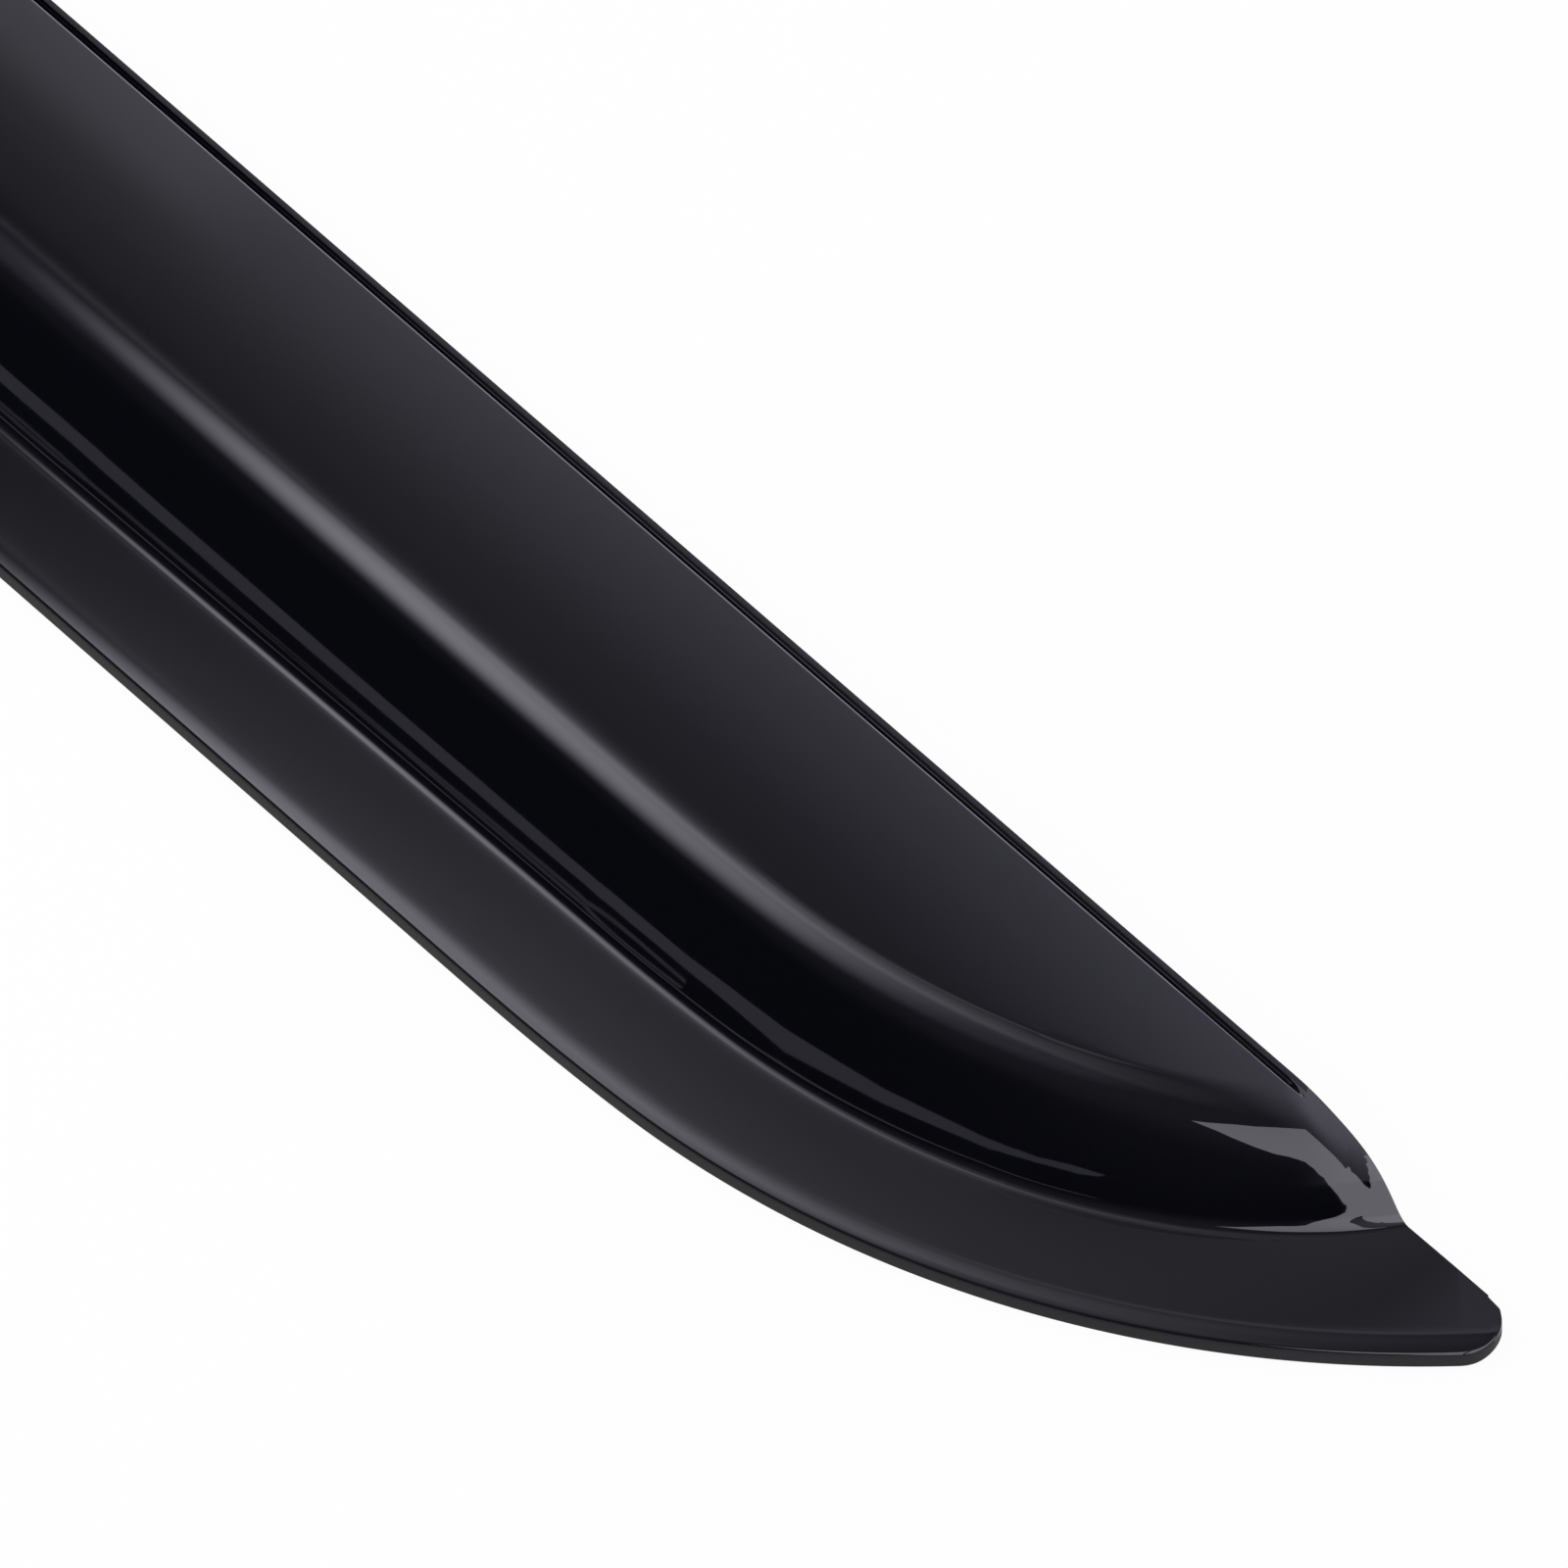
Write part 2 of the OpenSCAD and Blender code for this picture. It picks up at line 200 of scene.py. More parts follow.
# ------------------------------------------------------------------ settings

class DEFLECTOR_PG_shell(bpy.types.PropertyGroup):
    smoke: FloatVectorProperty(name="Smoke colour", description="Body colour of the sheet",
                               subtype="COLOR", default=linear("#030408")[:3],
                               min=0.0, max=1.0)
    gloss_roughness: FloatProperty(name="Gloss roughness", subtype="FACTOR",
                                   description="Roughness of the drawn, polished skin",
                                   default=0.02, min=0.0, max=1.0)
    waviness: FloatProperty(name="Waviness", unit="LENGTH", subtype="DISTANCE",
                            description="Height of the slow waves of the drawn sheet",
                            default=0.001 * MM, min=0.0, precision=6)
    smooth_levels: IntProperty(name="Subdivision", description="Subdivision levels",
                               default=2, min=0, max=2)
    crest_line: FloatProperty(name="Crest line", subtype="FACTOR", default=0.8, min=0.0,
                              max=1.0, description="Sharpness of the crest's upper line")
    crest_line_end: FloatProperty(name="Crest line's end", unit="LENGTH",
                                  subtype="DISTANCE", default=262 * MM,
                                  description="How far toward the tip that line runs")
    calming: IntProperty(name="Calming", default=3, min=0, max=12,
                         description="Rounds of evening out of wall and foot")
    arris: FloatProperty(name="Arris", unit="LENGTH", subtype="DISTANCE",
                         description="Rounding of the outer edge's upper corner",
                         default=0.45 * MM, min=0.0)
    lip_width: FloatProperty(name="Trimmed strip", unit="LENGTH", subtype="DISTANCE",
                             description="Width of the matte strip along the free edge",
                             default=1.15 * MM, min=0.0)
    lip_half_length: FloatProperty(name="Strip half length", unit="LENGTH",
                                   subtype="DISTANCE", description="Where that strip ends",
                                   default=297 * MM, min=0.0)


class DEFLECTOR_PG_tape(bpy.types.PropertyGroup):
    waist: FloatProperty(name="Foam waist", unit="LENGTH", subtype="DISTANCE",
                         description="How far the foam pulls in between its two skins",
                         default=0.15 * MM, min=0.0)
    film_round: FloatProperty(name="Film edge", unit="LENGTH", subtype="DISTANCE",
                              description="Bevel of the film's cut edge",
                              default=0.04 * MM, min=0.0)


class DEFLECTOR_PG_studio(bpy.types.PropertyGroup):
    room: FloatProperty(name="Room", description="Radiance of the pale room on the object",
                        default=0.72, min=0.0)


# ------------------------------------------------------------------ modelling helpers

def only(obj):
    """Selects obj alone and makes it active."""
    bpy.ops.object.select_all(action="DESELECT")
    obj.select_set(True)
    bpy.context.view_layer.objects.active = obj


def merged_copy(node_name, name):
    """A copy of a CAD node's solid with its doubled points merged, as a new piece."""
    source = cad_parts[node_name]
    piece = source.copy()
    piece.data = source.data.copy()
    piece.name = piece.data.name = name
    piece.data.materials.clear()
    bpy.context.scene.collection.objects.link(piece)
    only(piece)
    bpy.ops.object.mode_set(mode="EDIT")
    bpy.ops.mesh.select_all(action="SELECT")
    bpy.ops.mesh.remove_doubles(threshold=0.001 * MM)
    bpy.ops.object.mode_set(mode="OBJECT")
    return piece


def rejoin_quads(piece):
    """The solid's four-sided facets were cut along a diagonal, and the two halves of each
    follow one another: the diagonals are selected and dissolved."""
    bpy.ops.object.mode_set(mode="EDIT")
    bpy.ops.mesh.select_mode(type="EDGE")
    bpy.ops.mesh.select_all(action="DESELECT")
    bm = bmesh.from_edit_mesh(piece.data)
    bm.faces.ensure_lookup_table()
    for k in range(0, len(bm.faces) - 1, 2):
        for e in bm.faces[k].edges:
            if bm.faces[k + 1] in e.link_faces:
                e.select = True
    bmesh.update_edit_mesh(piece.data)
    bpy.ops.mesh.dissolve_edges(use_verts=False)
    bpy.ops.object.mode_set(mode="OBJECT")


def rejoin_sides(piece):
    """Joins the triangles of the flat top and bottom into one face each."""
    bpy.ops.object.mode_set(mode="EDIT")
    bpy.ops.mesh.select_all(action="SELECT")
    bpy.ops.mesh.tris_convert_to_quads(face_threshold=math.radians(1),
                                       shape_threshold=math.radians(180))
    bpy.ops.object.mode_set(mode="OBJECT")


def select_edges(piece, test):
    """In edit mode: selects the edges for which test(edge) holds."""
    bpy.ops.mesh.select_mode(type="EDGE")
    bpy.ops.mesh.select_all(action="DESELECT")
    bm = bmesh.from_edit_mesh(piece.data)
    for e in bm.edges:
        e.select = test(e)
    bmesh.update_edit_mesh(piece.data)


def select_faces(piece, test):
    """In edit mode: selects the faces for which test(face) holds."""
    bpy.ops.mesh.select_mode(type="FACE")
    bpy.ops.mesh.select_all(action="DESELECT")
    bm = bmesh.from_edit_mesh(piece.data)
    for f in bm.faces:
        f.select = test(f)
    bmesh.update_edit_mesh(piece.data)


def apply_modifiers(piece):
    only(piece)
    for m in list(piece.modifiers):
        bpy.ops.object.modifier_apply(modifier=m.name)


# ------------------------------------------------------------------ the skin at the tip

# as the part's source draws it, in mm, with the free edge at y = 0. Of two values, the
# second is what the arc adds to the first at its far end
ARC = (195.0, 198.056, 112.729)     # the outline's arc: radius and centre
ARC_TURN = (3.9, 50.442)            # the angles that it spans, in degrees
TAB = (7.0, 343.0, -7.0)            # the tab's corner: radius and centre
NOSE = 304.0                        # where the crest line meets the free edge
FLANGE_Z, LIP_Z = 4.1, 18.3         # heights of the flange and of the free edge
FOOT, CREST = (22.5, 8.8), (36.9, 3.4)      # foot and top of the wall, from the outline
FLANGE_SINK = 0.9                   # how far the flange sinks toward the foot
ROLL_W, ROLL_DROP = 4.3, 0.9        # the outer edge's turn down
WALL_CROWN = (0.5, 1.8)
FOOT_BLEND, CREST_BLEND = (1.7, 1.9), (6.0, 3.2)
FACE_W, FACE_RISE, FACE_CROWN = 46.1, 5.4, 0.5
EDGE_OVER, OVER_W = 0.5, 5.5        # the free edge's dip at the nose: depth and width
LIP_W, GROOVE_W, GROOVE_DEPTH = 1.15, 1.5, 0.8
GROOVE_STEEP = 0.27                 # width of the groove's steep flank
GROOVE_RUN, GROOVE_STOP = 8.0, 3.5  # how the groove closes before the nose
GROOVE_BLEND, SKIN_BLEND = 0.12, 0.1


def ramp(v, low, high):
    t = min(max((v - low) / (high - low), 0.0), 1.0)
    return t * t * (3 - 2 * t)


def lower(a, b, k):
    """The lower of two heights, their corner blended over the height k."""
    h = max(k - abs(a - b), 0.0) / k
    return min(a, b) - h * h * k / 4


def face_height(y):
    q = min(max(-y / FACE_W, 0.0), 1.0)
    return LIP_Z - FACE_RISE / FACE_W * y + 4 * FACE_CROWN * q * (1 - q)


def tip_skin(x, y):
    """Height of the outer skin over a point near the tip, and its distance from the
    outline."""
    reach = math.hypot(x - ARC[1], ARC[2] - y)
    turn = math.degrees(math.atan2(x - ARC[1], ARC[2] - y))
    d = ARC[0] - reach
    grown = min(max((turn - ARC_TURN[0]) / (ARC_TURN[1] - ARC_TURN[0]), 0.0), 1.0) ** 5
    foot, crest = FOOT[0] + FOOT[1] * grown, CREST[0] + CREST[1] * grown
    sink = FLANGE_SINK * (1 - grown)
    crest_y = ARC[2] - (ARC[0] - crest) * math.cos(math.radians(turn))
    slope = (face_height(crest_y) - FLANGE_Z + sink) / (crest - foot)
    t = (d - foot) / (crest - foot)
    flange = FLANGE_Z - ROLL_DROP * max(0.0, 1 - d / ROLL_W) ** 2 \
        - sink * (max(d, 0.0) / foot) ** 1.5
    crown = WALL_CROWN[0] + WALL_CROWN[1] * grown
    wall = FLANGE_Z - sink + slope * (d - foot) + 4 * crown * t * (1 - t)
    e = NOSE - x
    closed = GROOVE_STOP + GROOVE_RUN
    over = EDGE_OVER * (1 - ramp(e, -0.5, closed)) * ramp(e, -15.0, 0.0) \
        * max(0.0, 1 + y / OVER_W) ** 2
    skin = lower(wall, face_height(y), CREST_BLEND[0] + CREST_BLEND[1] * grown) - over
    skin = -lower(-flange, -skin, FOOT_BLEND[0] + FOOT_BLEND[1] * grown)
    side = -LIP_W - y
    steep = side - GROOVE_W * (1 - ramp(e, GROOVE_STOP, closed))
    groove = face_height(y) - lower(
        GROOVE_DEPTH / GROOVE_STEEP * steep,
        GROOVE_DEPTH / (GROOVE_W - GROOVE_STEEP) * (GROOVE_W - side), GROOVE_BLEND)
    if turn > ARC_TURN[1]:
        d = TAB[0] - math.hypot(x - TAB[1], y - TAB[2])
    return lower(skin, groove, SKIN_BLEND), d


def calm_wall(piece, free_y, rounds):
    """Takes the ripple of the facets out of wall and foot, where the slats' thin lines
    show it: their points are evened out, but not those at a sharp edge."""
    low, high = 3.0 * MM, 16.5 * MM         # from the flange to below the crest
    clear = free_y - 4 * MM                 # the groove is left out
    bpy.ops.object.mode_set(mode="EDIT")
    bpy.ops.mesh.select_mode(type="VERT")
    bpy.ops.mesh.select_all(action="DESELECT")
    bm = bmesh.from_edit_mesh(piece.data)
    for v in bm.verts:
        v.select = v.normal.y < -0.02 and 0.3 < v.normal.z < 0.9998 \
            and low < v.co.z < high and v.co.y < clear \
            and all(e.calc_face_angle(0.0) < math.radians(12) for e in v.link_edges)
    bm.select_flush_mode()
    bmesh.update_edit_mesh(piece.data)
    bpy.ops.mesh.vertices_smooth(factor=0.5, repeat=rounds)
    bpy.ops.object.mode_set(mode="OBJECT")


def fit_tip(piece, free_y, start):
    """Toward the tip the facets run slantwise over wall and foot. There the smoothed
    points are set on the skin itself, more and more over a first stretch, and less and
    less close to the outline, where the arris is."""
    stretch, arris, inside = 13 * MM, 0.6, 1.6
    up = {i for f in piece.data.polygons if f.normal.z > 0.3 for i in f.vertices}
    for i in up:
        co = piece.data.vertices[i].co
        if co.x > start:
            z, d = tip_skin(co.x / MM, (co.y - free_y) / MM)
            share = ramp(co.x, start, start + stretch) * ramp(d, arris, inside)
            co.z += share * (z * MM - co.z)
    piece.data.update()


# ------------------------------------------------------------------ pieces

class DEFLECTOR_OT_shell(bpy.types.Operator):
    """Smooth the moulded acrylic shell and give it its polished and trimmed surfaces"""
    bl_idname = "deflector.shell"
    bl_label = "Moulded shell"

    def execute(self, context):
        s = context.scene.deflector_shell
        piece = merged_copy("visor_shell", "moulded_shell")
        rejoin_quads(piece)
        free_y = SHELL_BOX[1][1]

        # the cut all round stays sharp, everything else is one flowing skin
        def upright(f):
            return abs(f.normal.z) < 0.15

        def cut_edge(e):
            return len(e.link_faces) == 2 and any(upright(f) for f in e.link_faces) \
                and e.calc_face_angle(0.0) > math.radians(45)

        def outer_arris(e):
            return cut_edge(e) and max(f.normal.z for f in e.link_faces) > 0.5 \
                and max(v.co.y for v in e.verts) < free_y - 0.01 * MM

        def crest_line(e):
            tilt = sorted(f.normal.y for f in e.link_faces)
            return len(tilt) == 2 and min(f.normal.z for f in e.link_faces) > 0.9 \
                and tilt[0] < 0.02 and tilt[1] > 0.08 \
                and e.calc_face_angle(0.0) > math.radians(6) \
                and max(v.co.x for v in e.verts) < s.crest_line_end

        bpy.ops.object.mode_set(mode="EDIT")
        select_edges(piece, cut_edge)
        bpy.ops.transform.edge_crease(value=1.0)
        # the mould leaves a line where the face turns into the crest
        select_edges(piece, crest_line)
        bpy.ops.transform.edge_crease(value=s.crest_line)
        # the upper corner of the outer edge is a small round
        select_edges(piece, outer_arris)
        bpy.ops.transform.edge_crease(value=-1.0)
        bpy.ops.mesh.bevel(offset=s.arris, offset_type="OFFSET", segments=2, profile=0.5,
                           affect="EDGES")
        # material slot 1 is for what the router left: the cut and the strip beside it
        piece.data.materials.append(smoke_acrylic(s))
        piece.data.materials.append(trimmed_acrylic(s))

        def trimmed(f):
            # the cut, the lower part of its round, and the strip along the free edge
            c = f.calc_center_median()
            arris = f.normal.z < 0.6 and c.z < 4.2 * MM and c.y < free_y - 5 * MM
            return upright(f) or arris or (f.normal.z > 0.5
                                           and c.y > free_y - s.lip_width
                                           and abs(c.x) < s.lip_half_length)

        select_faces(piece, trimmed)
        piece.active_material_index = 1
        bpy.ops.object.material_slot_assign()
        bpy.ops.mesh.select_all(action="DESELECT")
        bpy.ops.object.mode_set(mode="OBJECT")

        m = piece.modifiers.new("smooth", "SUBSURF")
        m.levels = m.render_levels = s.smooth_levels
        m.use_limit_surface = False
        apply_modifiers(piece)
        calm_wall(piece, free_y, s.calming)
        fit_tip(piece, free_y, s.crest_line_end)
        bpy.ops.object.shade_smooth_by_angle(angle=math.radians(50))
        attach(piece, "root")
        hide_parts("visor_shell")
        return {"FINISHED"}


class DEFLECTOR_OT_tape(bpy.types.Operator):
    """Give the foam tape its pulled-in cut sides"""
    bl_idname = "deflector.tape"
    bl_label = "Foam tape"

    def execute(self, context):
        s = context.scene.deflector_tape
        piece = merged_copy("foam_tape", "foam_tape_strip")
        rejoin_sides(piece)
        bpy.ops.object.mode_set(mode="EDIT")
        # a ring round the middle of the cut sides, drawn in
        middle = (TAPE_BOX[0][2] + TAPE_BOX[1][2]) / 2
        bpy.ops.mesh.select_all(action="SELECT")
        bpy.ops.mesh.bisect(plane_co=(0, 0, middle), plane_no=(0, 0, 1))
        select_edges(piece, lambda e: all(abs(v.co.z - middle) < 0.01 * MM for v in e.verts))
        bpy.ops.transform.shrink_fatten(value=-s.waist)
        bpy.ops.object.mode_set(mode="OBJECT")
        piece.data.materials.append(acrylic_foam(s))
        m = piece.modifiers.new("skin edge", "BEVEL")
        m.width = 0.08 * MM
        m.segments = 2
        m.limit_method = "ANGLE"
        m.angle_limit = math.radians(40)
        apply_modifiers(piece)
        bpy.ops.object.shade_smooth_by_angle(angle=math.radians(35))
        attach(piece, "root")
        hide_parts("foam_tape")
        return {"FINISHED"}


class DEFLECTOR_OT_film(bpy.types.Operator):
    """Round the release film's cut edge"""
    bl_idname = "deflector.film"
    bl_label = "Release film"

    def execute(self, context):
        s = context.scene.deflector_tape
        piece = merged_copy("release_film", "release_film_strip")
        rejoin_sides(piece)
        piece.data.materials.append(red_film(s))
        m = piece.modifiers.new("cut edge", "BEVEL")
        m.width = s.film_round
        m.segments = 2
        m.limit_method = "ANGLE"
        m.angle_limit = math.radians(40)
        apply_modifiers(piece)
        bpy.ops.object.shade_smooth_by_angle(angle=math.radians(35))
        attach(piece, "root")
        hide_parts("release_film")
        return {"FINISHED"}


# ------------------------------------------------------------------ stage

def white_to_eye(tree, place, share):
    """How much of a stage surface is plain white of strength 1: share for what is seen
    straight, in a reflection or through something clear, else nothing."""
    path = node(tree, "ShaderNodeLightPath", place)
    seen = node(tree, "ShaderNodeMath", (place[0] + 200, place[1]),
                [(0, path.outputs["Is Camera Ray"]), (1, path.outputs["Is Glossy Ray"])],
                operation="MAXIMUM")
    seen = node(tree, "ShaderNodeMath", (place[0] + 400, place[1]),
                [(0, seen.outputs[0]), (1, path.outputs["Is Transmission Ray"])],
                operation="MAXIMUM")
    return node(tree, "ShaderNodeMath", (place[0] + 600, place[1]),
                [(0, seen.outputs[0])], operation="MULTIPLY", in_1=share).outputs[0]


def direction(azimuth, elevation):
    a, e = math.radians(azimuth), math.radians(elevation)
    return Vector((math.cos(e) * math.cos(a), math.cos(e) * math.sin(a), math.sin(e)))


def product(tree, place, first, second):
    return node(tree, "ShaderNodeMath", place, [(0, first), (1, second)],
                operation="MULTIPLY").outputs[0]


def total(tree, place, sockets):
    out = sockets[0]
    for k, socket in enumerate(sockets[1:]):
        out = node(tree, "ShaderNodeMath", (place[0] + 150 * k, place[1]),
                   [(0, out), (1, socket)], operation="ADD").outputs[0]
    return out


def step(tree, place, socket, low, high, rising=True):
    """A smooth step between low and high, rising to 1 or falling to 0."""
    return node(tree, "ShaderNodeMapRange", place, [("Value", socket)],
                interpolation_type="SMOOTHSTEP", in_From_Min=low, in_From_Max=high,
                in_To_Min=0.0 if rising else 1.0, in_To_Max=1.0 if rising else 0.0
                ).outputs["Result"]


def window(tree, place, x, y, radiance, across, along):
    """A soft-edged window of light; across and along are each its left or lower edge,
    its right or upper edge and the widths over which they fade outward, in metres. With
    its edges the other way round a window is a soft hump, dimmer than its radiance."""
    out = None
    for k, (socket, (low, high, fade_low, fade_high)) in enumerate(
            ((x, across), (y, along))):
        up = step(tree, (place[0], place[1] - 300 * k), socket, low - fade_low, low)
        down = step(tree, (place[0], place[1] - 300 * k - 150), socket, high,
                    high + fade_high, rising=False)
        both = product(tree, (place[0] + 200, place[1] - 300 * k), up, down)
        out = both if out is None else product(tree, (place[0] + 400, place[1]), out, both)
    return node(tree, "ShaderNodeMath", (place[0] + 600, place[1]), [(0, out)],
                operation="MULTIPLY", in_1=radiance).outputs[0]


def reflected_only(obj, diffuse=False):
    """Out of the camera's sight, casts no shadow: seen in the polish of the sheet."""
    obj.visible_camera = False
    obj.visible_diffuse = diffuse
    obj.visible_shadow = False
    obj.visible_volume_scatter = False


def cut_card(name, corners):
    """A flat card with the given corners, in metres."""
    bpy.ops.object.select_all(action="DESELECT")
    bpy.ops.mesh.primitive_circle_add(vertices=len(corners), fill_type="NGON")
    obj = bpy.context.object
    for v, (x, y) in zip(obj.data.vertices, corners):
        v.co = (x, y, 0.0)
    obj.name = obj.data.name = name
    return obj


def hue(hex_code):
    """The hue of a light: that colour with a mean of 1."""
    colour = linear(hex_code)
    mean = sum(colour[:3]) / 3
    return tuple(c / mean for c in colour[:3]) + (1.0,)


def soft_card(name, azimuth, elevation, distance, roll, windows, diffuse=False,
              gradient=None, corners=((-1.6, -1.6), (1.6, -1.6), (1.6, 1.6), (-1.6, 1.6))):
    """A clear card at a distance from the origin, facing it, with windows of light."""
    outward = direction(azimuth, elevation)
    up = Vector((0, 0, 1))
    up = (up - outward * up.dot(outward)).normalized()
    side = up.cross(-outward)
    turn = math.radians(roll)
    x = side * math.cos(turn) + up * math.sin(turn)
    y = up * math.cos(turn) - side * math.sin(turn)
    obj = cut_card(name, corners)
    obj.matrix_world = Matrix.Translation(outward * distance) \
        @ Matrix((x, y, -outward)).transposed().to_4x4()
    mat, t = new_material(name)
    where = node(t, "ShaderNodeTexCoord", (-1400, 0))
    xyz = node(t, "ShaderNodeSeparateXYZ", (-1200, 0), [(0, where.outputs["Object"])])
    light = [window(t, (-1000, 700 * k), xyz.outputs["X"], xyz.outputs["Y"], *w)
             for k, w in enumerate(windows)]
    light = total(t, (-200, 0), light) if light else None
    if gradient:
        low, high, at_low, at_high = gradient
        fade = node(t, "ShaderNodeMapRange", (-200, -300), [("Value", xyz.outputs["Y"])],
                    in_From_Min=low, in_From_Max=high, in_To_Min=at_low, in_To_Max=at_high)
        fade = fade.outputs["Result"]
        light = product(t, (0, -100), light, fade) if light else fade
    glow = node(t, "ShaderNodeEmission", (150, 0), [("Strength", light)],
                in_Color=hue("#F5F2FF"))
    clear = node(t, "ShaderNodeBsdfTransparent", (150, -150))
    both = node(t, "ShaderNodeAddShader", (350, 0), [(0, glow.outputs[0]),
                                                     (1, clear.outputs[0])])
    node(t, "ShaderNodeOutputMaterial", (550, 0), [("Surface", both.outputs[0])])
    obj.data.materials.append(mat)
    reflected_only(obj, diffuse)
    return obj


def strip_card(name, y, corners, radiance):
    """A narrow upright card at a place along Y; its corners are (x, z) in mm."""
    obj = cut_card(name, [(x * MM, z * MM) for x, z in corners])
    obj.matrix_world = Matrix.Translation((0, y, 0)) @ Matrix.Rotation(math.pi / 2, 4, "X")
    mat, t = new_material(name)
    glow = node(t, "ShaderNodeEmission", (0, 0), in_Strength=radiance,
                in_Color=hue("#ECE4FF"))
    node(t, "ShaderNodeOutputMaterial", (200, 0), [("Surface", glow.outputs[0])])
    obj.data.materials.append(mat)
    reflected_only(obj)
    return obj


def fall(tree, place, out, azimuth, elevation, full, none):
    """1 within the angle full of a direction, falling to 0 at the angle none from it."""
    dot = node(tree, "ShaderNodeVectorMath", place, [(0, out)], operation="DOT_PRODUCT",
               in_1=direction(azimuth, elevation))
    angle = node(tree, "ShaderNodeMath", (place[0] + 200, place[1]),
                 [(0, dot.outputs["Value"])], operation="ARCCOSINE")
    return step(tree, (place[0] + 400, place[1]), angle.outputs[0], math.radians(full),
                math.radians(none), rising=False)


def canopy(name, radius, base, rise, glows):
    """A dark cloth canopy round the set, which keeps the pale room out of the sheet's
    polish. base is its radiance low down, rise what is added between two heights, and
    glows are soft lights that fall on it: the radiance of each, the elevation below
    which it is cut off, and the soft circles that it lies in."""
    bpy.ops.object.select_all(action="DESELECT")
    bpy.ops.mesh.primitive_uv_sphere_add(segments=48, ring_count=24, radius=radius)
    obj = bpy.context.object
    obj.name = obj.data.name = name
    bpy.ops.object.shade_smooth()
    mat, t = new_material(name)
    where = node(t, "ShaderNodeTexCoord", (-2000, 0))
    out = node(t, "ShaderNodeVectorMath", (-1800, 0), [(0, where.outputs["Object"])],
               operation="NORMALIZE").outputs["Vector"]
    height = node(t, "ShaderNodeSeparateXYZ", (-1600, 300), [(0, out)]).outputs["Z"]
    low, high, added = rise
    parts = [node(t, "ShaderNodeMapRange", (-800, 300), [("Value", height)],
                  interpolation_type="SMOOTHSTEP", in_From_Min=low, in_From_Max=high,
                  in_To_Min=base, in_To_Max=base + added).outputs["Result"]]
    for k, (radiance, lowest, circles) in enumerate(glows):
        part = step(t, (-800, -600 * k), height, math.sin(math.radians(lowest - 1)),
                    math.sin(math.radians(lowest + 1)))
        for n, circle in enumerate(circles):
            y = -600 * k - 200 * n - 200
            part = product(t, (-600, y), part, fall(t, (-1400, y), out, *circle))
        parts.append(node(t, "ShaderNodeMath", (-400, -600 * k), [(0, part)],
                          operation="MULTIPLY", in_1=radiance).outputs[0])
    light = total(t, (-200, 0), parts)
    glow = node(t, "ShaderNodeEmission", (150, 0), [("Strength", light)],
                in_Color=hue("#EAE7FF"))
    node(t, "ShaderNodeOutputMaterial", (350, 0), [("Surface", glow.outputs[0])])
    obj.data.materials.append(mat)
    reflected_only(obj)
    return obj


